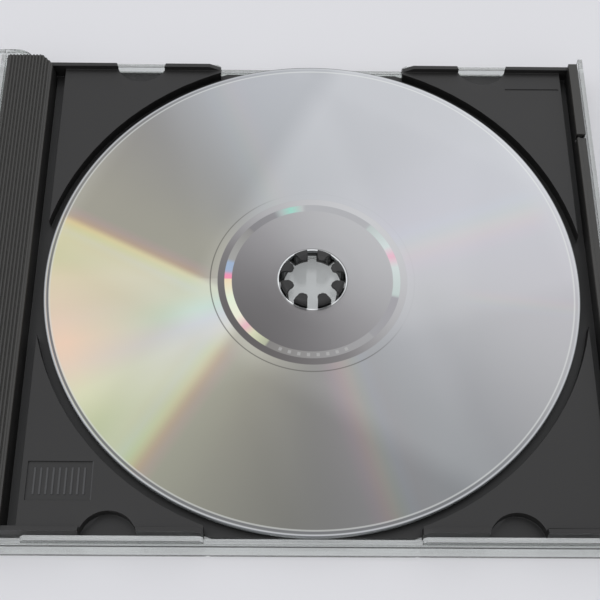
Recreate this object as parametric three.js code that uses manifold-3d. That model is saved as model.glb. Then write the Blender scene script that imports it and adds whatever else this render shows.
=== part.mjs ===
// A music disc in its hinged case, laid open: the disc with its play side up,
// the tray that grips it by the hole, the clear back cover that holds the tray,
// and the clear front cover, which swings on two pins.
// Millimetres, +Z up. X and Y are zero on the disc's axis, Z on the case's underside.
import * as THREE from 'three';
import Module from 'manifold-3d';
import { mergeVertices } from 'three/addons/utils/BufferGeometryUtils.js';

const wasm = await Module();
wasm.setup();

// The disc, which the case is built round
const discRadius = 60;
const discThickness = 1.2;
const discHole = 7.5;
const discEdge = 0.15;
const stackRingRadius = 17.1;
const stackRingWidth = 0.6;
const stackRingHeight = 0.15;

// The case, which reaches past the disc by these margins
const hingeMargin = 15.7;
const openingMargin = 6.3;
const sideMargin = 2.5;
const caseHeight = 10.1;
const plateThickness = 1.2;
const backWall = 1.1;
const frontWall = 1.3;
const runningGap = 0.3;
const fitGap = 0.3;

// Hinge: pins on the front cover's ears, holes in the back cover's walls
const pivotInset = 3.6;
const pinRadius = 1.4;
const pinClearance = 0.3;
const pinTipInset = 0.2;
const hingeWallLength = 9.6;
const earGap = 0.1;

// Walls of the back cover
const lowWallHeight = 2.2;
const raisedInset = 0.5;
const fingerHalf = 22.3;
const spineGap = 0.3;
const wallChamfer = 0.8;

// Levels of the tray
const cardGap = 0.3;
const traySkin = 1;
const floorRise = 0.7;
const seatHeight = 0.8;
const seatGap = 0.3;
const plateauRise = 0.5;
const lipHeight = 1.3;
const lipWidth = 1;
const lipRamp = 2.6;
const stripGap = 0.4;

// The tray seen from above
const recessClearance = 2;
const stripWidth = 11.1;
const flankDraft = 0.6;
const valleyLeft = 2.35;
const ribPitch = 0.8;
const ribDepth = 0.3;
const ribTopHalf = 0.16;
const ribFootHalf = 0.32;
const stripCorner = 2.6;
const stripEndGap = 0.2;
const stripEndSkin = 0.7;
const rimWidth = 2.1;
const rimSkin = 0.7;
const valleyRight = 1.9;
const rimNotch = 38;
const rimNotchWidth = 1;
const rimStep = 0.25;
const rimNotchDepth = 2.3;
const pocketX = 41.7;
const pocketRadius = 6.1;
const pocketOverhang = 1.4;
const pocketDepth = 2.4;
const pocketSkin = 0.8;
const panelWidth = 13.4;
const panelHeight = 8.5;
const panelDepth = 0.4;
const panelInset = 1.2;
const panelFromEdge = 6.9;
const panelBars = 9;
const panelBarWidth = 0.45;
const panelBarMargin = 1.3;
const lineLength = 13;
const lineWidth = 0.4;
const lineDepth = 0.25;
const lineInset = 0.7;
const lineFromEdge = 6.3;

// The hub that grips the disc
const seatInner = 8.6;
const seatOuter = 17;
const toothCount = 8;
const toothClearance = 0.3;
const toothSkin = 0.7;
const toothRise = 1.7;
const toothTip = 4.6;
const toothNub = 0.1;
const toothNubGap = 0.3;
const toothNubRise = 0.3;
const toothNubHeight = 0.8;
const toothEase = 0.15;
const toothShoulder = 0.5;
const toothFlat = 1.6;
const toothSlope = 0.4;
const toothDrop = 0.6;
const toothGap = 2;
const toothTipWidth = 2.2;
const toothSlotReach = 0.8;

// Tabs of the front cover, which hold a booklet
const tabClearance = 0.5;
const tabDip = 0.2;
const tabThickness = 1;
const tabWallGap = 0.5;

// Facets
const roundSteps = 96;
const toothSteps = 64;
const holeSteps = 24;
const tipSteps = 8;
const weldDistance = 1e-5;
const overcut = 1;

// Places worked out from the sizes above
const caseLeft = -discRadius - hingeMargin;
const caseRight = discRadius + openingMargin;
const halfWidth = discRadius + sideMargin;
const raisedReach = discRadius - raisedInset;
const lidUnder = caseHeight - plateThickness;
const pivotX = caseLeft + pivotInset;
const pivotZ = caseHeight / 2;
const lidEdge = pivotX + pivotInset + runningGap;
const lidInnerY = halfWidth - frontWall;
const backOuterY = lidInnerY - runningGap;
const backInnerY = backOuterY - backWall;
const trayLeft = caseLeft + backWall + fitGap;
const trayRight = caseRight - backWall - fitGap;
const trayY = backInnerY - fitGap;
const trayFoot = plateThickness + cardGap;
const floorUnder = trayFoot + floorRise;
const floorTop = floorUnder + traySkin;
const seatTop = floorTop + seatHeight;
const discUnder = seatTop + seatGap;
const discTop = discUnder + discThickness;
const plateauTop = discTop + plateauRise;
const plateauUnder = plateauTop - traySkin;
const lipTop = plateauTop + lipHeight;
const stripTop = lidUnder - stripGap;
const tabUnder = plateauTop - tabDip;
const raisedWallTop = tabUnder - tabWallGap;
const recessRadius = discRadius + recessClearance;
const stripRight = trayLeft + stripWidth;
const stripFoot = stripRight + flankDraft;
const stripEnd = lidInnerY - stripEndGap;
const stripEndUnder = stripTop - ribDepth - stripEndSkin;
const plateauLeft = stripFoot + valleyLeft;
const rimLeft = trayRight - rimWidth;
const plateauRight = rimLeft - valleyRight;
const pocketY = trayY + pocketOverhang;
const pocketFloor = plateauTop - pocketDepth;

// Shapes as closed solids

function solid(geometry) {
  geometry.deleteAttribute('normal');
  geometry.deleteAttribute('uv');
  const merged = mergeVertices(geometry, weldDistance);
  const mesh = new wasm.Mesh({
    numProp: 3,
    vertProperties: new Float32Array(merged.attributes.position.array),
    triVerts: new Uint32Array(merged.index.array),
  });
  return new wasm.Manifold(mesh);
}

function outline(points) {
  return new THREE.Shape(points.map(([x, y]) => new THREE.Vector2(x, y)));
}

// A shape seen from above, standing from bottom to top
function standing(shape, bottom, top, curveSegments = holeSteps) {
  const geometry = new THREE.ExtrudeGeometry(shape, {
    depth: top - bottom,
    bevelEnabled: false,
    curveSegments,
  });
  geometry.translate(0, 0, bottom);
  return solid(geometry);
}

// A section given in X and Z, running along Y
function running(shape, nearY, farY, curveSegments = holeSteps) {
  const geometry = new THREE.ExtrudeGeometry(shape, {
    depth: farY - nearY,
    bevelEnabled: false,
    curveSegments,
  });
  geometry.rotateX(Math.PI / 2);
  geometry.translate(0, farY, 0);
  return solid(geometry);
}

function block(x0, x1, y0, y1, z0, z1) {
  const geometry = new THREE.BoxGeometry(x1 - x0, y1 - y0, z1 - z0);
  geometry.translate((x0 + x1) / 2, (y0 + y1) / 2, (z0 + z1) / 2);
  return solid(geometry);
}

// A closed section in radius and height, turned about the disc's axis
function turned(section, steps = roundSteps) {
  const points = [...section, section[0]].map(([r, z]) => new THREE.Vector2(r, z));
  const geometry = new THREE.LatheGeometry(points, steps);
  geometry.rotateX(Math.PI / 2);
  return solid(geometry);
}

function cylinder(x, y, radius, z0, z1, steps = roundSteps) {
  const geometry = new THREE.CylinderGeometry(radius, radius, z1 - z0, steps);
  geometry.rotateX(Math.PI / 2);
  geometry.translate(x, y, (z0 + z1) / 2);
  return solid(geometry);
}

// A round bar along Y through the hinge axis
function crossBar(radius, nearY, farY) {
  const geometry = new THREE.CylinderGeometry(radius, radius, farY - nearY, holeSteps);
  geometry.translate(pivotX, (nearY + farY) / 2, pivotZ);
  return solid(geometry);
}

function joined(pieces) {
  return pieces.reduce((whole, piece) => whole.add(piece));
}

function bothSides(make) {
  return joined([make(-1), make(1)]);
}

function piece(name, body, finish) {
  const mesh = body.getMesh();
  const geometry = new THREE.BufferGeometry();
  geometry.setAttribute('position', new THREE.BufferAttribute(new Float32Array(mesh.vertProperties), 3));
  geometry.setIndex(new THREE.BufferAttribute(new Uint32Array(mesh.triVerts), 1));
  geometry.computeVertexNormals();
  const material = new THREE.MeshStandardMaterial({ flatShading: true, ...finish });
  const result = new THREE.Mesh(geometry, material);
  result.name = name;
  return result;
}

// The disc: a flat moulded ring with eased edges and a low stacking ring on its underside
function makeDisc() {
  const section = [
    [discHole, discUnder + discEdge],
    [discHole + discEdge, discUnder],
    [stackRingRadius, discUnder],
    [stackRingRadius, discUnder - stackRingHeight],
    [stackRingRadius + stackRingWidth, discUnder - stackRingHeight],
    [stackRingRadius + stackRingWidth, discUnder],
    [discRadius - discEdge, discUnder],
    [discRadius, discUnder + discEdge],
    [discRadius, discTop - discEdge],
    [discRadius - discEdge, discTop],
    [discHole + discEdge, discTop],
    [discHole, discTop - discEdge],
  ];
  return turned(section);
}

// Eight springy teeth: a turned arch cut into petals that point to the axis
function makeTeeth() {
  const root = discHole - toothClearance;
  const inner = root - toothSkin;
  const top = discTop + toothRise;
  const nub = discTop + toothNubGap;
  const arch = [
    [inner, floorUnder],
    [root, floorUnder],
    [root, nub],
    [root + toothNub, nub + toothNubRise],
    [root + toothNub - toothEase, nub + toothNubHeight],
    [root - toothShoulder, top - toothEase],
    [root - toothFlat, top],
    [toothTip + toothSlope, top - toothSlope],
    [toothTip, top - toothDrop],
    [toothTip + toothEase, top - toothDrop - toothEase],
    [toothTip + toothSkin, top - toothDrop - toothEase],
    [root - toothFlat, top - toothSkin],
    [inner - toothEase, top - toothSkin - toothEase],
    [inner, top - toothSkin - toothNubHeight],
  ];
  const ring = turned(arch, toothSteps);
  const reach = root + toothNub + overcut;
  const pitch = (2 * Math.PI) / toothCount;
  const halfRoot = reach * Math.sin(pitch / 2) - toothGap / 2;
  const tipRadius = toothTipWidth / 2;
  const petals = [];
  for (let i = 0; i < toothCount; i += 1) {
    const shape = new THREE.Shape();
    shape.moveTo(reach, -halfRoot);
    shape.lineTo(reach, halfRoot);
    shape.lineTo(toothTip + tipRadius, tipRadius);
    shape.absarc(toothTip + tipRadius, 0, tipRadius, Math.PI / 2, -Math.PI / 2 + 2 * Math.PI, false);
    const petal = standing(shape, floorUnder - overcut, top + overcut, tipSteps);
    petals.push(petal.rotate([0, 0, (360 / toothCount) * (i + 0.5)]));
  }
  return ring.intersect(joined(petals));
}

// Slots between the teeth, open to the back cover below
function makeToothSlots() {
  const reach = discHole - toothClearance + toothSlotReach;
  const slots = [];
  for (let i = 0; i < toothCount / 2; i += 1) {
    const slot = block(-reach, reach, -toothGap / 2, toothGap / 2, 0, floorTop + overcut);
    slots.push(slot.rotate([0, 0, (360 / toothCount) * i]));
  }
  return joined(slots);
}

// The ribbed strip beside the hinge, hollow underneath, whose ends reach out over the hinge walls
function makeStrip() {
  const ribFoot = stripTop - ribDepth;
  const ribCount = Math.floor(stripWidth / ribPitch);
  const margin = (stripWidth - ribCount * ribPitch) / 2;
  const section = [[trayLeft, trayFoot], [trayLeft + traySkin, trayFoot]];
  section.push([trayLeft + traySkin, ribFoot - traySkin]);
  section.push([stripRight - traySkin, ribFoot - traySkin]);
  section.push([stripFoot - traySkin, floorUnder]);
  section.push([stripFoot, floorUnder]);
  section.push([stripFoot, floorTop]);
  section.push([stripRight, ribFoot]);
  for (let i = ribCount - 1; i >= 0; i -= 1) {
    const middle = trayLeft + margin + (i + 0.5) * ribPitch;
    section.push([middle + ribFootHalf, ribFoot]);
    section.push([middle + ribTopHalf, stripTop]);
    section.push([middle - ribTopHalf, stripTop]);
    section.push([middle - ribFootHalf, ribFoot]);
  }
  section.push([trayLeft, ribFoot]);
  const strip = running(outline(section), -stripEnd, stripEnd);
  const overWalls = bothSides((side) => {
    const y0 = side > 0 ? trayY : -stripEnd - overcut;
    const y1 = side > 0 ? stripEnd + overcut : -trayY;
    return block(trayLeft - overcut, stripFoot + overcut, y0, y1, 0, stripEndUnder);
  });
  const corners = bothSides((side) => {
    const edge = side * (stripEnd + overcut);
    const right = stripFoot + overcut;
    const cut = stripCorner + overcut + flankDraft;
    const points = [[right, edge], [right - cut - overcut, edge], [right, edge - side * (cut + overcut)]];
    const shape = outline(side > 0 ? points : points.reverse());
    return standing(shape, floorTop, stripTop + overcut);
  });
  return strip.subtract(joined([overWalls, corners]));
}

// The narrow rim at the opening side, hollow underneath, with a notch near each end
function makeRim() {
  const section = [
    [rimLeft, floorUnder],
    [rimLeft, stripTop],
    [trayRight, stripTop],
    [trayRight, trayFoot],
    [trayRight - rimSkin, trayFoot],
    [trayRight - rimSkin, stripTop - rimSkin],
    [rimLeft + rimSkin, stripTop - rimSkin],
    [rimLeft + rimSkin, floorUnder],
  ];
  const rim = running(outline(section.reverse()), -trayY, trayY);
  const sideX = [rimLeft + rimSkin, trayRight + overcut];
  const middle = block(...sideX, -rimNotch, rimNotch, stripTop - rimStep, stripTop + overcut);
  const notches = bothSides((side) => {
    const y = side * rimNotch;
    const y0 = y - rimNotchWidth / 2;
    return block(rimLeft - overcut, trayRight + overcut, y0, y0 + rimNotchWidth,
      stripTop - rimNotchDepth, stripTop + overcut);
  });
  return rim.subtract(joined([middle, notches]));
}

// Raised lips along the two long edges, from the strip to the rim, ramped down beside the finger openings
function makeLips() {
  const leftEnd = stripRight - stripCorner - traySkin;
  const rightEnd = rimLeft + rimSkin;
  return bothSides((side) => {
    const y0 = side > 0 ? trayY - lipWidth : -trayY;
    const right = outline([
      [fingerHalf, floorUnder],
      [rightEnd, floorUnder],
      [rightEnd, lipTop],
      [fingerHalf + lipRamp, lipTop],
      [fingerHalf, plateauTop],
    ]);
    const left = outline([
      [leftEnd, floorUnder],
      [-fingerHalf, floorUnder],
      [-fingerHalf, plateauTop],
      [-fingerHalf - lipRamp, lipTop],
      [leftEnd, lipTop],
    ]);
    return joined([running(right, y0, y0 + lipWidth), running(left, y0, y0 + lipWidth)]);
  });
}

// The tray: plateau, round recess, valleys, strip, rim, lips, pockets and hub in one moulding
function makeTray() {
  const bore = discHole - toothClearance - toothSkin;
  const inside = block(stripFoot - traySkin, rimLeft + rimSkin, -trayY, trayY, floorUnder, lipTop + overcut);
  const floor = joined([
    cylinder(0, 0, recessRadius + traySkin, floorUnder, floorTop),
    block(stripFoot - traySkin, plateauLeft + traySkin, -trayY, trayY, floorUnder, floorTop),
    block(plateauRight - traySkin, rimLeft + rimSkin, -trayY, trayY, floorUnder, floorTop),
  ]).intersect(inside);
  const wallSections = [
    block(plateauLeft, plateauRight, -trayY, trayY, plateauUnder, plateauTop),
    block(plateauLeft, plateauLeft + traySkin, -trayY, trayY, floorUnder, plateauTop),
    block(plateauRight - traySkin, plateauRight, -trayY, trayY, floorUnder, plateauTop),
    bothSides((side) => {
      const y0 = side > 0 ? trayY - traySkin : -trayY;
      return block(plateauLeft, plateauRight, y0, y0 + traySkin, trayFoot, plateauTop);
    }),
  ];
  const roundWall = cylinder(0, 0, recessRadius + traySkin, floorUnder, plateauTop)
    .intersect(block(plateauLeft, plateauRight, -trayY, trayY, floorUnder, plateauTop));
  const pocketWalls = [];
  const pocketCuts = [];
  for (const sideX of [-1, 1]) {
    for (const sideY of [-1, 1]) {
      const x = sideX * pocketX;
      const y = sideY * pocketY;
      const shell = cylinder(x, y, pocketRadius + pocketSkin, pocketFloor - pocketSkin, plateauTop);
      pocketWalls.push(shell.intersect(inside));
      pocketCuts.push(cylinder(x, y, pocketRadius, pocketFloor, lipTop + overcut));
    }
  }
  const panelX = plateauLeft + panelInset;
  const panelY = -trayY + panelFromEdge;
  const panel = block(panelX, panelX + panelWidth, panelY, panelY + panelHeight,
    plateauTop - panelDepth, plateauTop + overcut);
  const bars = [];
  const barSpan = panelWidth - 2 * panelBarMargin - panelBarWidth;
  for (let i = 0; i < panelBars; i += 1) {
    const x = panelX + panelBarMargin + (barSpan * i) / (panelBars - 1);
    bars.push(block(x, x + panelBarWidth, panelY + panelBarMargin, panelY + panelHeight - panelBarMargin,
      plateauUnder, plateauTop - panelDepth / 2));
  }
  const lineX = plateauRight - lineInset;
  const lineY = trayY - lineFromEdge;
  const line = block(lineX - lineLength, lineX, lineY, lineY + lineWidth,
    plateauTop - lineDepth, plateauTop + overcut);
  const recess = cylinder(0, 0, recessRadius, floorTop, lipTop + overcut);
  const fingerOpening = block(-fingerHalf, fingerHalf, -halfWidth, halfWidth, 0, lipTop + overcut);
  const seat = turned([
    [seatInner, floorUnder],
    [seatOuter, floorUnder],
    [seatOuter, seatTop],
    [seatInner, seatTop],
  ]);
  return joined([...wallSections, roundWall, makeLips(), ...pocketWalls])
    .subtract(joined([recess, fingerOpening, ...pocketCuts, panel, line]))
    .add(joined([floor, ...bars]))
    .subtract(joined([cylinder(0, 0, bore, 0, plateauTop), makeToothSlots()]))
    .add(joined([seat, makeTeeth(), makeStrip(), makeRim()]));
}

// The back cover: a plate, two spine walls and two long walls with the hinge holes
function makeBackCover() {
  const lowTop = plateThickness + lowWallHeight;
  const hingeTop = stripEndUnder - fitGap;
  const spineTop = lidUnder - spineGap;
  const plate = block(caseLeft, caseRight, -halfWidth, halfWidth, 0, plateThickness);
  const spines = [
    block(caseLeft, caseLeft + backWall, -backOuterY, backOuterY, 0, stripTop),
    block(caseRight - backWall, caseRight, -backOuterY, backOuterY, 0, spineTop),
  ];
  const longWalls = bothSides((side) => {
    const y0 = side > 0 ? backInnerY : -backOuterY;
    const raised = (sign) => outline([
      [sign * fingerHalf, 0],
      [sign * raisedReach, 0],
      [sign * raisedReach, raisedWallTop - wallChamfer],
      [sign * (raisedReach - wallChamfer), raisedWallTop],
      [sign * (fingerHalf + wallChamfer), raisedWallTop],
      [sign * fingerHalf, raisedWallTop - wallChamfer],
    ]);
    const hingeEnd = caseLeft + hingeWallLength;
    const hinge = outline([
      [caseLeft, 0],
      [hingeEnd + wallChamfer, 0],
      [hingeEnd, hingeTop - wallChamfer],
      [hingeEnd - wallChamfer, hingeTop],
      [caseLeft, hingeTop],
    ]);
    return joined([
      block(caseLeft, caseRight, y0, y0 + backWall, 0, lowTop),
      running(raised(1), y0, y0 + backWall),
      running(raised(-1), y0, y0 + backWall),
      running(hinge, y0, y0 + backWall),
    ]);
  });
  const holes = crossBar(pinRadius + pinClearance, -halfWidth, halfWidth)
    .subtract(crossBar(pinRadius + pinClearance + overcut, -backInnerY + overcut, backInnerY - overcut));
  return joined([plate, ...spines, longWalls]).subtract(holes);
}

// The front cover as it lies when shut: a plate, two long walls with ears and pins, four tabs
function makeFrontCover() {
  const wallFoot = plateThickness + runningGap;
  const earRadius = pivotInset - earGap;
  const plate = block(lidEdge, caseRight, -halfWidth, halfWidth, lidUnder, caseHeight);
  const walls = bothSides((side) => {
    const y0 = side > 0 ? lidInnerY : -halfWidth;
    const ear = new THREE.Shape();
    ear.moveTo(lidEdge + overcut, pivotZ - earRadius);
    ear.lineTo(lidEdge + overcut, pivotZ + earRadius);
    ear.lineTo(pivotX, pivotZ + earRadius);
    ear.absarc(pivotX, pivotZ, earRadius, Math.PI / 2, (3 * Math.PI) / 2, false);
    return joined([
      block(lidEdge, caseRight, y0, y0 + frontWall, wallFoot, caseHeight),
      running(ear, y0, y0 + frontWall),
    ]);
  });
  const pins = bothSides((side) => {
    const tip = backInnerY + pinTipInset;
    const root = lidInnerY + frontWall / 2;
    return side > 0 ? crossBar(pinRadius, tip, root) : crossBar(pinRadius, -root, -tip);
  });
  const tabs = [];
  for (const sideX of [-1, 1]) {
    for (const sideY of [-1, 1]) {
      const y = sideY * pocketY;
      const radius = pocketRadius - tabClearance;
      const round = cylinder(sideX * pocketX, y, radius, tabUnder, tabUnder + tabThickness, holeSteps);
      tabs.push(round.intersect(block(caseLeft, caseRight, -halfWidth, halfWidth, 0, caseHeight)));
    }
  }
  return joined([plate, walls, pins, ...tabs]);
}

const clearPlastic = { color: 0xdfe3e1, roughness: 0.08, metalness: 0 };
const darkPlastic = { color: 0x3b3b3c, roughness: 0.45, metalness: 0 };
const mirrorCoat = { color: 0xbfc2c1, roughness: 0.2, metalness: 0.9 };

// The front cover hangs on the hinge axis, turned half a turn from shut to flat open
const hinge = new THREE.Group();
hinge.position.set(pivotX, 0, pivotZ);
hinge.rotation.y = Math.PI;
const frontCover = piece('front_cover', makeFrontCover().translate([-pivotX, 0, -pivotZ]), clearPlastic);
hinge.add(frontCover);

const musicDisc = new THREE.Group();
musicDisc.add(piece('disc', makeDisc(), mirrorCoat));
musicDisc.add(piece('media_tray', makeTray(), darkPlastic));
musicDisc.add(piece('back_cover', makeBackCover(), clearPlastic));
musicDisc.add(hinge);

export default musicDisc;
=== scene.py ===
import math

import bmesh
import bpy
from mathutils import Matrix, Vector


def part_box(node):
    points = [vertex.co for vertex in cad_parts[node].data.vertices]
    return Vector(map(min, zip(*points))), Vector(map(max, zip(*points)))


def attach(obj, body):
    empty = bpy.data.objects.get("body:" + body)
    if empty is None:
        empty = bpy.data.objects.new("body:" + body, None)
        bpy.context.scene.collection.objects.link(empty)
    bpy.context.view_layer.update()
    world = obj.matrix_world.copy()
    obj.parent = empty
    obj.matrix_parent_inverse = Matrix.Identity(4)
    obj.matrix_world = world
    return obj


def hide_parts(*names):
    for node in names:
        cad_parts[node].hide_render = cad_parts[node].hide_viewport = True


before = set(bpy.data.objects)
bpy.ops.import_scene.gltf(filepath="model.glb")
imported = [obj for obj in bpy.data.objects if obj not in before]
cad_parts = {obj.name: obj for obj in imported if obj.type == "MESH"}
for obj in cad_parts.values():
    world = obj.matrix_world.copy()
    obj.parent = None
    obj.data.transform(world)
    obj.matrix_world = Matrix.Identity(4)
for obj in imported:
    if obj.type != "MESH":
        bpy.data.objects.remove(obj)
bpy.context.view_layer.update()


# The back cover is the clear lower half of the case, moulded in one shot of crystal polystyrene:
# a plate with two spine walls and two long walls. The tray snaps into it, and the front cover's
# pins turn in holes through its hinge walls.

MM = 0.001
SAME_PLACE = 0.001 * MM
back_low, back_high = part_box("back_cover")
BACK_PLATE_TOP = back_low.z + 1.2 * MM
BACK_WALL = 1.1 * MM
LONG_WALL_OUT = 60.9 * MM
LONG_WALL_IN = LONG_WALL_OUT - BACK_WALL
LONG_WALL_TOP = 3.4 * MM
RAISED_FROM = 22.3 * MM
RAISED_TO = 59.5 * MM
RAISED_TOP = 5.3 * MM
HINGE_WALL_END = back_low.x + 9.6 * MM
HINGE_WALL_TOP = 7.2 * MM
SPINE_TOP = 8.5 * MM
WALL_CORNER = 0.8 * MM
PIVOT = Vector((-72.1, 0, 5.05)) * MM
PIN_HOLE_R = 1.7 * MM
EASED_EDGE = 0.15 * MM


def deselect():
    for thing in bpy.context.selected_objects:
        thing.select_set(False)


def hold(piece):
    """The piece alone selected and active."""
    deselect()
    piece.select_set(True)
    bpy.context.view_layer.objects.active = piece


def pick(piece, test, what="faces"):
    """In edit mode, selects only the faces, or edges, that pass the test."""
    mesh = bmesh.from_edit_mesh(piece.data)
    for thing in [*mesh.verts, *mesh.edges, *mesh.faces]:
        thing.select = False
    for thing in getattr(mesh, what):
        if test(thing):
            thing.select_set(True)
    bmesh.update_edit_mesh(piece.data)


def plate(name, low, high, x_cuts, y_cuts):
    """A block between two corners whose faces are cut along lines in X and Y, left in edit mode."""
    deselect()
    bpy.ops.mesh.primitive_cube_add(size=1, location=(low + high) / 2, scale=high - low)
    piece = bpy.context.active_object
    piece.name = name
    bpy.ops.object.transform_apply(location=True, rotation=False, scale=True)
    bpy.ops.object.mode_set(mode="EDIT")
    planes = [((x, 0, 0), (1, 0, 0)) for x in x_cuts]
    planes += [((0, y, 0), (0, 1, 0)) for y in y_cuts]
    for place, normal in planes:
        bpy.ops.mesh.select_all(action="SELECT")
        bpy.ops.mesh.bisect(plane_co=place, plane_no=normal)
    return piece


def raise_cells(piece, start, height_at):
    """Extrudes the cells of a plate's top, level by level, to the height that each should have."""
    mesh = bmesh.from_edit_mesh(piece.data)
    centres = [f.calc_center_median() for f in mesh.faces if f.normal.z > 0.9]
    level = start

    def still_low(face):
        centre = face.calc_center_median()
        on_top = face.normal.z > 0.9 and abs(centre.z - level) < SAME_PLACE
        return on_top and height_at(centre.x, centre.y) >= target

    for target in sorted({height_at(c.x, c.y) for c in centres}):
        if target <= level:
            continue
        pick(piece, still_low)
        bpy.ops.mesh.extrude_region_move(TRANSFORM_OT_translate={"value": (0, 0, target - level)})
        level = target


def bevel_edges(piece, test, offset, segments=1):
    pick(piece, test, "edges")
    bpy.ops.mesh.bevel(offset=offset, segments=segments, profile=0.5, affect="EDGES")


def clean(piece):
    """Merges what coincides and joins coplanar faces, then leaves edit mode."""
    bpy.ops.mesh.select_all(action="SELECT")
    bpy.ops.mesh.remove_doubles(threshold=SAME_PLACE)
    bpy.ops.mesh.dissolve_limited(angle_limit=math.radians(0.5))
    bpy.ops.mesh.normals_make_consistent(inside=False)
    bpy.ops.object.mode_set(mode="OBJECT")


def cut(piece, tool, operation="DIFFERENCE"):
    """Cuts a tool out of a piece, or joins it on, and takes the tool away."""
    hold(piece)
    change = piece.modifiers.new("cut", "BOOLEAN")
    change.operation = operation
    change.object = tool
    change.solver = "EXACT"
    bpy.ops.object.modifier_apply(modifier=change.name)
    bpy.data.objects.remove(tool, do_unlink=True)


def rod(radius, near, far, steps):
    """A round rod along Y, on the hinge axis."""
    deselect()
    bpy.ops.mesh.primitive_cylinder_add(vertices=steps, radius=radius, depth=far - near,
                                        location=(PIVOT.x, (near + far) / 2, PIVOT.z),
                                        rotation=(math.radians(90), 0, 0))
    rod_piece = bpy.context.active_object
    bpy.ops.object.transform_apply(location=True, rotation=True, scale=True)
    return rod_piece


def ease(piece, width, segments=3, clamp=True):
    """Rounds every sharp edge of a finished moulding, with its flats still shaded flat."""
    hold(piece)
    rounding = piece.modifiers.new("eased edges", "BEVEL")
    rounding.width = width
    rounding.segments = segments
    rounding.limit_method = "ANGLE"
    rounding.angle_limit = math.radians(32)
    rounding.use_clamp_overlap = clamp
    bpy.ops.object.modifier_apply(modifier=rounding.name)
    bpy.ops.object.shade_smooth_by_angle(angle=math.radians(34))
    flats = piece.modifiers.new("flats shaded flat", "WEIGHTED_NORMAL")
    flats.keep_sharp = True
    bpy.ops.object.modifier_apply(modifier=flats.name)


def back_height(x, y):
    """How high the back cover's walls stand at a place seen from above."""
    in_long_wall = LONG_WALL_IN < abs(y) < LONG_WALL_OUT
    if abs(y) > LONG_WALL_OUT:
        return BACK_PLATE_TOP
    if x < back_low.x + BACK_WALL:
        return SPINE_TOP
    if x > back_high.x - BACK_WALL:
        return back_high.z
    if in_long_wall and x < HINGE_WALL_END:
        return HINGE_WALL_TOP
    if in_long_wall and RAISED_FROM < abs(x) < RAISED_TO:
        return RAISED_TOP
    return LONG_WALL_TOP if in_long_wall else BACK_PLATE_TOP


back_cover = plate("back_cover_moulding", back_low, Vector((back_high.x, back_high.y, BACK_PLATE_TOP)),
                   [back_low.x + BACK_WALL, HINGE_WALL_END, -RAISED_TO, -RAISED_FROM, RAISED_FROM,
                    RAISED_TO, back_high.x - BACK_WALL],
                   [-LONG_WALL_OUT, -LONG_WALL_IN, LONG_WALL_IN, LONG_WALL_OUT])
raise_cells(back_cover, BACK_PLATE_TOP, back_height)
clean(back_cover)
bpy.ops.object.mode_set(mode="EDIT")


def wall_end(edge):
    """The short top edges at the ends of the raised stretches and of the hinge walls."""
    a, b = (v.co for v in edge.verts)
    near = 10 * SAME_PLACE
    if abs(a.x - b.x) > SAME_PLACE or abs(a.z - b.z) > SAME_PLACE or abs(abs(a.y - b.y) - BACK_WALL) > near:
        return False
    at_raised_end = min(abs(abs(a.x) - RAISED_FROM), abs(abs(a.x) - RAISED_TO)) < near
    on_raised = abs(a.z - RAISED_TOP) < SAME_PLACE and at_raised_end
    on_hinge = abs(a.z - HINGE_WALL_TOP) < SAME_PLACE and abs(a.x - HINGE_WALL_END) < near
    return on_raised or on_hinge


bevel_edges(back_cover, wall_end, WALL_CORNER)
bpy.ops.object.mode_set(mode="OBJECT")
for side in (-1, 1):
    hole_near, hole_far = sorted((side * (LONG_WALL_IN - MM), side * (LONG_WALL_OUT + MM)))
    cut(back_cover, rod(PIN_HOLE_R, hole_near, hole_far, 48))
ease(back_cover, EASED_EDGE)


def linear(colour):
    """An sRGB hex colour as linear red, green, blue and alpha."""
    parts = [int(colour[i:i + 2], 16) / 255 for i in (1, 3, 5)]
    return [v / 12.92 if v <= 0.04045 else ((v + 0.055) / 1.055) ** 2.4 for v in parts] + [1]


def put(node, inputs):
    """Gives a node its inputs, each as a value, an sRGB hex colour or another node's output."""
    for name, value in inputs.items():
        if isinstance(value, bpy.types.NodeSocket):
            node.id_data.links.new(value, node.inputs[name])
        else:
            node.inputs[name].default_value = linear(value) if isinstance(value, str) else value


def add(material, kind, inputs, stops=(), **settings):
    """Adds a node with its settings, inputs and colour stops to a material, and gives its outputs."""
    node = material.node_tree.nodes.new("ShaderNode" + kind)
    for name, value in settings.items():
        setattr(node, name, value)
    put(node, inputs)
    if stops:
        points = node.color_ramp.elements
        while len(points) < len(stops):
            points.new(0.5)
        for point, (position, colour) in zip(points, stops):
            point.position = position
        for point, (position, colour) in zip(points, stops):
            point.color = linear(colour)
    return node.outputs


def new_material(name):
    """A new material, the one shader in it, and the place on the piece's own coordinates."""
    material = bpy.data.materials.new(name)
    material.use_nodes = True
    return material, material.node_tree.nodes["Principled BSDF"], add(material, "TexCoord", {})["Object"]


def dress(piece, *materials):
    piece.data.materials.clear()
    for material in materials:
        piece.data.materials.append(material)


# Crystal polystyrene, polished in the mould: colourless with a faint grey-green body, and a soft
# flow mark here and there that bends the light a little
FLOW_MARK = 22.2 * MM
clear_plastic, shader, place = new_material("crystal_polystyrene_moulded")
flow = add(clear_plastic, "TexNoise", {"Vector": place, "Scale": 1 / FLOW_MARK, "Detail": 2.0})["Fac"]
put(shader, {
    "Base Color": "#f4f7f5",
    "IOR": 1.59,
    "Transmission Weight": 1.0,
    "Roughness": add(clear_plastic, "MapRange", {
        "Value": flow, "From Min": 0.3, "From Max": 0.7, "To Min": 0.02, "To Max": 0.07})["Result"],
    "Normal": add(clear_plastic, "Bump", {
        "Height": flow, "Strength": 0.02, "Distance": 0.2 * MM})["Normal"],
})
dress(back_cover, clear_plastic)
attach(back_cover, "case_back")
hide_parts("back_cover")

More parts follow.
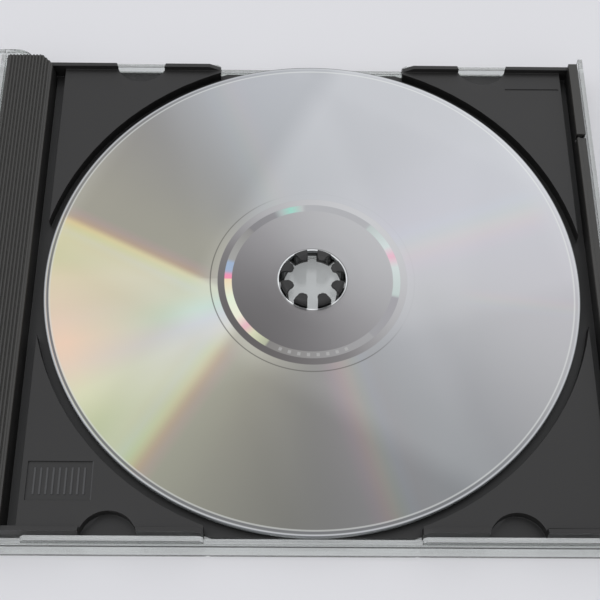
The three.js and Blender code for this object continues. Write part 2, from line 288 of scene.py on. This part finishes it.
# Light goes through it to what lies under it, so it throws no shadow of its own
back_cover.visible_shadow = False


# The tray is one moulding of dark polystyrene, held in the back cover by its snaps. The solid
# already has all its forms, so a copy of its mesh is merged and its edges are eased.

TRAY_EDGE = 0.09 * MM

tray = bpy.data.objects.new("tray_moulding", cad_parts["media_tray"].data.copy())
bpy.context.scene.collection.objects.link(tray)
hold(tray)
bpy.ops.object.mode_set(mode="EDIT")
bpy.ops.mesh.select_all(action="SELECT")
bpy.ops.mesh.remove_doubles(threshold=0.02 * MM)
bpy.ops.object.mode_set(mode="OBJECT")
ease(tray, TRAY_EDGE, 2, clamp=False)

# Its mould was spark eroded, which gives an even grain and a satin shine. The real grain is a few
# hundredths of a millimetre wide and wouldn't show, so it is drawn about ten times as wide.
GRAIN = 0.455 * MM
MOTTLE = 33.3 * MM
tray_plastic, shader, place = new_material("grey_polystyrene_satin_moulded")
grain = add(tray_plastic, "TexNoise", {"Vector": place, "Scale": 1 / GRAIN, "Detail": 3.0})["Fac"]
mottle = add(tray_plastic, "TexNoise", {"Vector": place, "Scale": 1 / MOTTLE, "Detail": 3.0})["Fac"]
spot = add(tray_plastic, "SeparateXYZ", {"Vector": place})

# A mix node has several sockets of one name, so its colour sockets go by number
MIX_MASK = 0
MIX_BELOW = 6
MIX_ABOVE = 7
MIX_RESULT = 2


def laid(material, below, above, fades=(), strength=1.0, blend="MIX"):
    """One colour laid on another, coming in along each fade: a value, where it starts and ends."""
    for value, start, end in fades:
        strength = add(material, "MapRange", {
            "Value": value, "From Min": start, "From Max": end, "To Max": strength,
        }, interpolation_type="SMOOTHSTEP")["Result"]
    return add(material, "Mix", {MIX_MASK: strength, MIX_BELOW: below, MIX_ABOVE: above},
               data_type="RGBA", blend_type=blend, clamp_result=True)[MIX_RESULT]


def within(axis, low, high):
    """The fades at the two ends, in mm, of a stretch of the tray along one axis."""
    soft = 0.03
    return [(spot[axis], (low - soft) * MM, (low + soft) * MM),
            (spot[axis], (high + soft) * MM, (high - soft) * MM)]


# The low floors of the mould are painted darker, a painted shade. The tops of the badge panel's bars,
# its sharp right wall and the ribbed strip are painted lighter, a painted highlight.
low_floor_painted_shade = add(tray_plastic, "MapRange", {
    "Value": spot["Z"], "From Min": 5.85 * MM, "From Max": 3.5 * MM})["Result"]
badge_bar_highlight = within("X", -58.0, -46.7) + within("Y", -51.5, -45.2) + within("Z", 5.7, 5.9)
badge_wall_highlight = within("X", -45.8, -45.5) + within("Y", -52.6, -44.1) + within("Z", 5.6, 6.1)
strip_top_highlight = within("Z", 7.6, 9.0)
tray_tone = add(tray_plastic, "ValToRGB", {"Fac": mottle}, stops=[
    (0.3, "#0f0e0d"), (0.7, "#151413")])["Color"]
# Painted shade on the low floors
tray_tone = laid(tray_plastic, tray_tone, "#090908", strength=low_floor_painted_shade)
# Painted highlights on the badge bars, the badge wall and the strip's tops
for painted_highlight, colour in ((badge_bar_highlight, "#3a3a3b"), (badge_wall_highlight, "#3a3a3b"), (strip_top_highlight, "#2d2c29")):
    tray_tone = laid(tray_plastic, tray_tone, colour, painted_highlight)
put(shader, {
    "Base Color": tray_tone,
    "IOR": 1.59,
    "Roughness": add(tray_plastic, "MapRange", {
        "Value": mottle, "From Min": 0.3, "From Max": 0.7, "To Min": 0.42, "To Max": 0.52})["Result"],
    "Normal": add(tray_plastic, "Bump", {
        "Height": grain, "Strength": 0.25, "Distance": 0.05 * MM})["Normal"],
})
dress(tray, tray_plastic)
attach(tray, "case_back")
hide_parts("media_tray")


# The disc is a moulded polycarbonate ring, 1.2 mm thick, whose label side is sputtered with
# aluminium and lacquered. It lies play side up: the track's grooves split the light into faint
# rainbows, and inside them are the lead-in ring, a band of bar marks and a mirror zone.

DISC_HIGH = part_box("disc")[1]
DISC_R = DISC_HIGH.x
DISC_TOP = DISC_HIGH.z
DISC_UNDER = DISC_TOP - 1.2 * MM
HOLE_R = 7.5 * MM
DISC_CORNER = 0.12 * MM
STACKING_RING = [(17.1, 0), (17.15, 0.15), (17.65, 0.15), (17.7, 0)]
FACE_LOOPS = [58.9, 58.3, 40, 23, 21.3, 19.6, 18.1, 12]


def spun(name, section, steps):
    """A closed section in radius and height, spun about the disc's axis."""
    deselect()
    bpy.ops.mesh.primitive_circle_add(vertices=len(section), radius=DISC_R, location=(0, 0, 0))
    piece = bpy.context.active_object
    piece.name = name
    for vertex, (r, height) in zip(piece.data.vertices, section):
        vertex.co = (r, 0, height)
    bpy.ops.object.mode_set(mode="EDIT")
    bpy.ops.mesh.select_all(action="SELECT")
    bpy.ops.mesh.spin(steps=steps, angle=math.tau, center=(0, 0, 0), axis=(0, 0, 1), use_auto_merge=True)
    bpy.ops.mesh.select_all(action="SELECT")
    bpy.ops.mesh.remove_doubles(threshold=SAME_PLACE)
    bpy.ops.mesh.normals_make_consistent(inside=False)
    bpy.ops.object.mode_set(mode="OBJECT")
    bpy.ops.object.shade_smooth_by_angle(angle=math.radians(30))
    return piece


def disc_section():
    """Rounded corners at the hole and the rim, edge loops for the face, and the stacking ring."""
    arc = [math.radians(a) for a in (0, 30, 60, 90)]
    c = DISC_CORNER
    outer = DISC_R - c
    inner = HOLE_R + c
    section = [(outer + c * math.sin(a), DISC_UNDER + c - c * math.cos(a)) for a in arc]
    section += [(outer + c * math.cos(a), DISC_TOP - c + c * math.sin(a)) for a in arc]
    section += [(r * MM, DISC_TOP) for r in FACE_LOOPS]
    section += [(inner - c * math.sin(a), DISC_TOP - c + c * math.cos(a)) for a in arc]
    section += [(inner - c * math.cos(a), DISC_UNDER + c - c * math.sin(a)) for a in arc]
    section += [(r * MM, DISC_UNDER - drop * MM) for r, drop in STACKING_RING]
    return section


disc = spun("play_disc", disc_section(), 256)

# Aluminium sputtered on grooved polycarbonate: a grey mirror under a clear glossy face. The grooves
# are far too fine to draw, so what they do to the light is painted: wedges of brighter and darker
# painted reflection, with weak painted spectra where a wedge begins or ends. Radii are in mm.
COAT_EDGE = 58.85
RIM_BRIGHT = 59.4
RIM_TURN = 59.79
MIRROR_EDGE = 21.25
BAND_IN = 18.1
BAND_OUT = 19.75

disc_face, shader, place = new_material("aluminium_sputtered_polycarbonate")
flat = add(disc_face, "VectorMath", {0: place, 1: (1 / MM, 1 / MM, 0)}, operation="MULTIPLY")["Vector"]
axes = add(disc_face, "SeparateXYZ", {"Vector": flat})
radius = add(disc_face, "VectorMath", {0: flat}, operation="LENGTH")["Value"]
angle = add(disc_face, "Math", {0: axes["Y"], 1: axes["X"]}, operation="ARCTAN2")["Value"]
turn = add(disc_face, "MapRange", {"Value": angle, "From Min": -math.pi, "From Max": math.pi})["Result"]


def around(degrees):
    """A place on a ramp that goes once round the disc."""
    return (degrees + 180) / 360


def ring(inner, outer, soft=0.08):
    """The fades at the two edges of a ring."""
    return [(radius, inner - soft, inner + soft), (radius, outer + soft, outer - soft)]


def from_line(direction, offset):
    """Distance in mm to the left of a line across the disc, and distance along it."""
    a = math.radians(direction)
    left = add(disc_face, "VectorMath", {0: flat, 1: (-math.sin(a), math.cos(a), 0)}, operation="DOT_PRODUCT")
    along = add(disc_face, "VectorMath", {0: flat, 1: (math.cos(a), math.sin(a), 0)}, operation="DOT_PRODUCT")
    side = add(disc_face, "Math", {0: left["Value"], 1: offset}, operation="SUBTRACT")
    return side["Value"], along["Value"]


# The wedges of painted reflection, by angle round the disc, near the hub and near the rim
near_hub = add(disc_face, "ValToRGB", {"Fac": turn}, stops=[
    (around(-180), "#cbc9bd"), (around(-128), "#c6c5b7"), (around(-115), "#b9b6aa"), (around(-97), "#a3a29c"),
    (around(-84), "#a2a09e"), (around(-74), "#b1abae"), (around(-58), "#abadae"), (around(-40), "#b4b5b8"),
    (around(-20), "#c3c4c6"), (around(0), "#d0d0d1"), (around(28), "#d6d5dd"), (around(55), "#cdced1"),
    (around(90), "#c3c5c8"), (around(110), "#bfc2c3"), (around(125), "#b5b6b6"), (around(140), "#b0b0ac"),
    (around(158), "#bcbaae"),
])["Color"]
near_rim = add(disc_face, "ValToRGB", {"Fac": turn}, stops=[
    (around(-180), "#c9c4b4"), (around(-128), "#c2c2b2"), (around(-115), "#b3b2a6"), (around(-97), "#9b9a93"),
    (around(-86), "#91918f"), (around(-72), "#a4a2a3"), (around(-58), "#a2a6a8"), (around(-40), "#b3b3b5"),
    (around(-20), "#cbcbcc"), (around(0), "#cfcdd1"), (around(28), "#cfd1d5"), (around(55), "#c9cacd"),
    (around(90), "#cacccf"), (around(110), "#cbcdd1"), (around(123), "#b8b9ba"), (around(135), "#adaba8"),
    (around(155), "#c0bdb0"),
])["Color"]
for wedges in (near_hub, near_rim):
    wedges.node.color_ramp.interpolation = "B_SPLINE"
outward = add(disc_face, "MapRange", {"Value": radius, "From Min": 26.0, "From Max": 56.0})["Result"]
face = laid(disc_face, near_hub, near_rim, strength=outward)

# The brightest wedge, a painted highlight, lies between two lines, its upper and lower edges
bright_hub = add(disc_face, "ValToRGB", {"Fac": turn}, stops=[
    (0.0, "#e4e4d1"), (around(-171), "#e2e7d4"), (around(-163), "#d8ebe1"), (around(-156), "#dee5e8"),
    (around(-149), "#e5e6e0"), (around(-141), "#e4e3d2"), (around(-134), "#e2d7c6"),
    (around(-126), "#c8c5b7"), (around(165), "#e2cfba"), (around(175), "#e4dfca"), (1.0, "#e4e4d1"),
])["Color"]
bright_rim = add(disc_face, "ValToRGB", {"Fac": turn}, stops=[
    (0.0, "#f3ecd8"), (around(-172), "#f5eada"), (around(-163), "#fdebdd"), (around(-157), "#f8eddf"),
    (around(-150), "#f3f3de"), (around(-141), "#e4e8d0"), (around(-133), "#dadec5"),
    (around(-126), "#c6c3b0"), (around(162), "#e8cdb0"), (around(168), "#e8e4c4"),
    (around(175), "#ecead0"), (1.0, "#f3ecd8"),
])["Color"]
brightest = laid(disc_face, bright_hub, bright_rim, strength=outward)
upper_edge = {"direction": 153, "offset": 10.7}
lower_edge = {"direction": -122, "offset": -5.8}
face = laid(disc_face, face, brightest, [
    (from_line(**upper_edge)[0], -0.4, 1.6), (from_line(**lower_edge)[0], 0.0, -4.0)])

# Rainbows: each is a line that the track lights up, split from red to blue across its width
SPECTRUM = [(0.0, "#808080"), (0.2, "#a77b8c"), (0.36, "#c58a70"), (0.5, "#b9ab6a"), (0.64, "#86a97c"),
            (0.8, "#7d98a6"), (1.0, "#808080")]
RAINBOWS = [
    {**upper_edge, "start": -3.2, "end": 5.5, "strength": 0.7, "from": 22, "to": 62},
    {**lower_edge, "start": 3.0, "end": -8.0, "strength": 0.6, "from": 24, "to": 70},
    {"direction": -163, "offset": 0.0, "start": 10.0, "end": -9.0, "strength": 0.18, "from": 20, "to": 70},
    {"direction": -74, "offset": 0.0, "start": -5.0, "end": 7.0, "strength": 0.28, "from": 18, "to": 66},
    {"direction": 20, "offset": 0.0, "start": -7.0, "end": 7.0, "strength": 0.26, "from": 20, "to": 60},
    {"direction": -7, "offset": 0.0, "start": 3.0, "end": -3.0, "strength": 0.12, "from": 35, "to": 66},
    {"direction": 112, "offset": 0.0, "start": -6.0, "end": 6.0, "strength": 0.08, "from": 20, "to": 66},
]
for rainbow in RAINBOWS:
    side, along = from_line(rainbow["direction"], rainbow["offset"])
    across = add(disc_face, "MapRange", {
        "Value": side, "From Min": rainbow["start"], "From Max": rainbow["end"]})["Result"]
    spectrum = add(disc_face, "ValToRGB", {"Fac": across}, stops=SPECTRUM)["Color"]
    ends = [(along, rainbow["from"] - 4, rainbow["from"] + 4), (along, rainbow["to"], rainbow["to"] - 8)]
    face = laid(disc_face, face, spectrum, ends, rainbow["strength"], "SOFT_LIGHT")

# The zone inside the track is a plain mirror, painted as a reflection that is light on one side and dark on
# the other
light_side = math.radians(45)
from_light = add(disc_face, "Math", {0: angle, 1: light_side}, operation="SUBTRACT")["Value"]
lean = add(disc_face, "Math", {0: from_light}, operation="COSINE")["Value"]
spread = add(disc_face, "MapRange", {
    "Value": radius, "From Min": 10.0, "From Max": 21.0, "To Min": 0.37, "To Max": 0.5})["Result"]
mirror_lean = add(disc_face, "Math", {0: lean, 1: spread, 2: 0.5}, operation="MULTIPLY_ADD")["Value"]
mirror = add(disc_face, "ValToRGB", {"Fac": mirror_lean}, stops=[
    (0.0, "#656262"), (0.5, "#999798"), (1.0, "#c6c6c7")])["Color"]
face = laid(disc_face, face, mirror, [(radius, MIRROR_EDGE + 0.15, MIRROR_EDGE - 0.15)])

# Round the mirror are the band of bar marks, whose blocks are painted shining or dark, a painted
# reflection, and a ring outside it whose painted reflection is dark on one side. Plain ticks stand where the
# band has its printing.
bars = add(disc_face, "ValToRGB", {"Fac": turn}, stops=[
    (around(-180), "#ffe6c0"), (around(-165), "#f4ffe4"), (around(-150), "#fdfbe4"),
    (around(-141), "#f7c0cb"), (around(-134), "#e6e8c4"), (around(-121.5), "#b9bda2"),
    (around(-121), "#8b8884"), (around(-47.1), "#a8a7a8"), (around(-47), "#a1a0a2"),
    (around(-13), "#a9a7ab"), (around(-12.5), "#c7d3ce"), (around(10), "#d9e2df"),
    (around(19), "#f2bfd0"), (around(27), "#dbe5e2"), (around(47), "#c6cecb"),
    (around(48), "#b9b9bb"), (around(95), "#b5b5b7"), (around(97), "#c3c7c5"),
    (around(105), "#a3dccb"), (around(112), "#b6bfbd"), (around(117), "#939294"),
    (around(137), "#868486"), (around(138), "#93918f"), (around(150), "#a09f9b"),
    (around(165), "#aaa9a5"), (around(167), "#a7bbd6"), (around(174), "#a9bcd6"),
    (around(177), "#ff9dbb"),
])["Color"]
ring_lean = add(disc_face, "Math", {0: lean, 1: 0.5, 2: 0.5}, operation="MULTIPLY_ADD")["Value"]
outer_ring = add(disc_face, "ValToRGB", {"Fac": ring_lean}, stops=[
    (0.0, "#64605f"), (0.3, "#827f7f"), (0.62, "#b4b3b4"), (1.0, "#d2d2d3")])["Color"]
face = laid(disc_face, face, outer_ring, ring(BAND_OUT, MIRROR_EDGE))
face = laid(disc_face, face, bars, ring(BAND_IN, BAND_OUT))
TICK_STEP = math.radians(3.2)
swing = add(disc_face, "Math", {0: angle, 1: TICK_STEP}, operation="PINGPONG")["Value"]
ticks = ring(18.5, 19.3)
for value, start, end in ((swing, 2.0, 2.3), (angle, -117, -116), (angle, -65, -66)):
    ticks.append((value, math.radians(start), math.radians(end)))
face = laid(disc_face, face, "#b9b8b6", ticks, 0.7)

# A thin dark line closes the lead-in ring, plain from the far left round to the near side
line_seen = add(disc_face, "ValToRGB", {"Fac": turn}, stops=[
    (0.0, "#e0e0e0"), (around(-60), "#c8c8c8"), (around(-30), "#383838"), (around(110), "#303030"),
    (around(140), "#c0c0c0"), (1.0, "#e0e0e0")])["Color"]
face = laid(disc_face, face, "#55544e", ring(22.78, 23.05, 0.06), line_seen)

# The bare clear edge of the hole catches the light, with a thin grey line round it
face = laid(disc_face, face, "#8a8a8a", ring(7.85, 8.05, 0.06))
face = laid(disc_face, face, "#f0f2f2", [(radius, 7.9, 7.75)])

# Outside the track the coat stops, and the clear rim's look in the light is painted: dark, then a
# painted highlight, and a painted dark line where its corner turns down
rim_seen = add(disc_face, "ValToRGB", {"Fac": turn}, stops=[
    (0.0, "#ffffff"), (around(-60), "#f0f0f0"), (around(-30), "#606060"), (around(90), "#505050"),
    (around(130), "#c0c0c0"), (1.0, "#ffffff")])["Color"]
face = laid(disc_face, face, "#77787a", ring(COAT_EDGE, RIM_BRIGHT, 0.1), rim_seen)
face = laid(disc_face, face, "#e4e6e2", ring(COAT_EDGE - 0.35, COAT_EDGE, 0.06), 0.5)
face = laid(disc_face, face, "#c4c6c8", [(radius, RIM_BRIGHT - 0.05, RIM_BRIGHT + 0.2)])
face = laid(disc_face, face, "#6c6e70", [(radius, RIM_TURN - 0.07, RIM_TURN + 0.07)])

HAZE = 16.7 * MM
haze = add(disc_face, "TexNoise", {"Vector": place, "Scale": 1 / HAZE, "Detail": 4.0})["Fac"]
put(shader, {
    "Base Color": face,
    "Metallic": 0.9,
    "Roughness": add(disc_face, "MapRange", {
        "Value": haze, "From Min": 0.3, "From Max": 0.7, "To Min": 0.28, "To Max": 0.34})["Result"],
    "Anisotropic": 0.5,
    "Tangent": add(disc_face, "Tangent", {}, direction_type="RADIAL", axis="Z")["Tangent"],
    "Coat Weight": 0.6,
    "Coat Roughness": 0.04,
    "Coat IOR": 1.58,
})

# The bare edge of the polycarbonate, at the rim and in the hole: clear, with the tray's dark behind
DRAW_MARK = 8.3 * MM
disc_edge, shader, place = new_material("polycarbonate_moulded_edge")
draw = add(disc_edge, "TexNoise", {"Vector": place, "Scale": 1 / DRAW_MARK, "Detail": 3.0})["Fac"]
put(shader, {
    "Base Color": add(disc_edge, "ValToRGB", {"Fac": draw}, stops=[
        (0.0, "#5d6061"), (1.0, "#7c8081")])["Color"],
    "Roughness": 0.18,
    "IOR": 1.58,
})

# The label side, which lies face down: plain white screen ink over lacquer. The ink's own grain is
# too fine to show, so it is drawn about a millimetre wide.
INK_GRAIN = 1.1 * MM
label_ink, shader, place = new_material("screen_ink_on_lacquer")
print_grain = add(label_ink, "TexNoise", {"Vector": place, "Scale": 1 / INK_GRAIN, "Detail": 2.0})["Fac"]
put(shader, {
    "Base Color": add(label_ink, "ValToRGB", {"Fac": print_grain}, stops=[
        (0.0, "#d9dad8"), (1.0, "#e6e7e5")])["Color"],
    "Roughness": 0.4,
    "IOR": 1.5,
})

dress(disc, disc_face, disc_edge, label_ink)
for part_of_disc in disc.data.polygons:
    if part_of_disc.normal.z < -0.5:
        part_of_disc.material_index = 2
    elif part_of_disc.normal.z < 0.5:
        part_of_disc.material_index = 1
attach(disc, "case_back")
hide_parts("disc")


# The front cover is the clear upper half, moulded like the back one and folded back flat. Its two
# ears reach round the back cover's walls and carry the pins, and four tabs on its long walls hold
# a booklet.

front_low, front_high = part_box("front_cover")
FRONT_WALL = 1.3 * MM
FRONT_WALL_IN = front_high.y - FRONT_WALL
FRONT_WALL_MIDDLE = front_high.y - FRONT_WALL / 2
FRONT_EDGE = PIVOT.x - 3.9 * MM
FRONT_PLATE_TOP = front_low.z + 1.2 * MM
EAR_R = 3.5 * MM
EAR_STEPS = 14
PIN_R = 1.4 * MM
PIN_TIP = 60.0 * MM
TAB_PLACES = [-102.5 * MM, -185.9 * MM]
TAB_R = 5.6 * MM
TAB_LOW = 3.3 * MM
TAB_HIGH = 4.3 * MM


def front_height(x, y):
    """How high the front cover's walls stand at a place seen from above."""
    return PIVOT.z + EAR_R if abs(y) > FRONT_WALL_IN else FRONT_PLATE_TOP


def ear_root(end):
    """The ends of the long walls that the ears grow from."""
    centre = end.calc_center_median()
    return end.normal.x > 0.9 and abs(centre.y) > FRONT_WALL_IN and abs(centre.z - PIVOT.z) < EAR_R


def ear_corner(edge):
    """The level edges at the tips of the ears, which are rounded about the pivot."""
    a, b = (v.co for v in edge.verts)
    at_tip = all(abs(v.x - PIVOT.x - EAR_R) < SAME_PLACE for v in (a, b))
    return at_tip and abs(a.z - b.z) < SAME_PLACE


front_cover = plate("front_cover_moulding", front_low, Vector((FRONT_EDGE, front_high.y, FRONT_PLATE_TOP)),
                    [], [-FRONT_WALL_IN, FRONT_WALL_IN])
raise_cells(front_cover, FRONT_PLATE_TOP, front_height)
bpy.ops.mesh.select_all(action="SELECT")
bpy.ops.mesh.bisect(plane_co=(0, 0, PIVOT.z - EAR_R), plane_no=(0, 0, 1))
pick(front_cover, ear_root)
bpy.ops.mesh.extrude_region_move(TRANSFORM_OT_translate={"value": (PIVOT.x + EAR_R - FRONT_EDGE, 0, 0)})
bevel_edges(front_cover, ear_corner, EAR_R, EAR_STEPS)
clean(front_cover)
for side in (-1, 1):
    pin_near, pin_far = sorted((side * PIN_TIP, side * FRONT_WALL_MIDDLE))
    cut(front_cover, rod(PIN_R, pin_near, pin_far, 40), "UNION")
    for tab_x in TAB_PLACES:
        deselect()
        bpy.ops.mesh.primitive_cylinder_add(vertices=72, radius=TAB_R, depth=TAB_HIGH - TAB_LOW,
                                            location=(tab_x, side * LONG_WALL_OUT, (TAB_LOW + TAB_HIGH) / 2))
        tab = bpy.context.active_object
        bpy.ops.object.transform_apply(location=True, rotation=True, scale=True)
        bpy.ops.object.mode_set(mode="EDIT")
        bpy.ops.mesh.select_all(action="SELECT")
        bpy.ops.mesh.bisect(plane_co=(0, side * FRONT_WALL_MIDDLE, 0), plane_no=(0, side, 0),
                            use_fill=True, clear_outer=True)
        bpy.ops.object.mode_set(mode="OBJECT")
        cut(front_cover, tab, "UNION")
ease(front_cover, EASED_EDGE)
dress(front_cover, clear_plastic)
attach(front_cover, "lid")
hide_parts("front_cover")
front_cover.visible_shadow = False


# The pale table top that the open case lies on is matt painted board, a little under the case. Two
# soft boxes and a pale room light it, and the camera stands where the photo was taken.

deselect()
bpy.ops.mesh.primitive_plane_add(size=6, location=(0, 0, -0.05 * MM))
floor = bpy.context.active_object
floor.name = "floor"

# The board's own paint is a light grey. What the camera sees of it, straight, in the metal or
# through the clear covers, has a little glow added, which keeps the background pale.
floor_paint, shader, place = new_material("pale_matt_board")
seen = add(floor_paint, "LightPath", {})
straight = add(floor_paint, "Math", {0: seen["Is Camera Ray"], 1: seen["Is Transmission Ray"]},
               operation="MAXIMUM")["Value"]
any_way = add(floor_paint, "Math", {0: straight, 1: seen["Is Glossy Ray"]}, operation="MAXIMUM")["Value"]
put(shader, {
    "Base Color": "#b0b0b3",
    "Roughness": 0.8,
    "Emission Color": "#fbfbfe",
    "Emission Strength": add(floor_paint, "Math", {0: any_way, 1: 0.3}, operation="MULTIPLY")["Value"],
})
dress(floor, floor_paint)

world = bpy.data.worlds.new("soft_room")
bpy.context.scene.world = world
world.use_nodes = True
put(world.node_tree.nodes["Background"], {"Color": "#f7f8fb", "Strength": 0.88})


def softbox(name, place, aim, size, watts):
    lamp = bpy.data.lights.new(name, "AREA")
    lamp.shape = "RECTANGLE"
    lamp.size, lamp.size_y = size
    lamp.energy = watts
    thing = bpy.data.objects.new(name, lamp)
    bpy.context.scene.collection.objects.link(thing)
    thing.location = place
    thing.rotation_euler = (Vector(aim) - Vector(place)).to_track_quat("-Z", "Y").to_euler()


softbox("softbox_left", (-0.75, -0.2, 1.0), (0, 0, 0), (0.9, 0.9), 2.5)
softbox("softbox_far", (0.5, 0.9, 0.9), (0, 0, 0), (1.0, 0.6), 0.9)

# The camera: 292 mm from the disc's middle, looking down at 61.2 degrees and rolled by 1.56 degrees
CAMERA_AT = Vector((-5.94, -144.38, 258.77)) * MM
ELEVATION = math.radians(61.229)
HEADING = math.radians(1.3)
ROLL = math.radians(1.561)
camera_data = bpy.data.cameras.new("photo_camera")
camera_data.sensor_width = 36
camera_data.lens = 77.96
camera = bpy.data.objects.new("photo_camera", camera_data)
bpy.context.scene.collection.objects.link(camera)
forward = Vector((math.cos(ELEVATION) * math.sin(HEADING), math.cos(ELEVATION) * math.cos(HEADING),
                  -math.sin(ELEVATION)))
level_right = Vector((math.cos(HEADING), -math.sin(HEADING), 0))
level_up = level_right.cross(forward)
right = level_right * math.cos(ROLL) + level_up * math.sin(ROLL)
up = level_up * math.cos(ROLL) - level_right * math.sin(ROLL)
turned = Matrix((right, up, -forward)).transposed()
camera.matrix_world = Matrix.Translation(CAMERA_AT) @ turned.to_4x4()
bpy.context.scene.camera = camera

bpy.context.scene.view_settings.view_transform = "Standard"
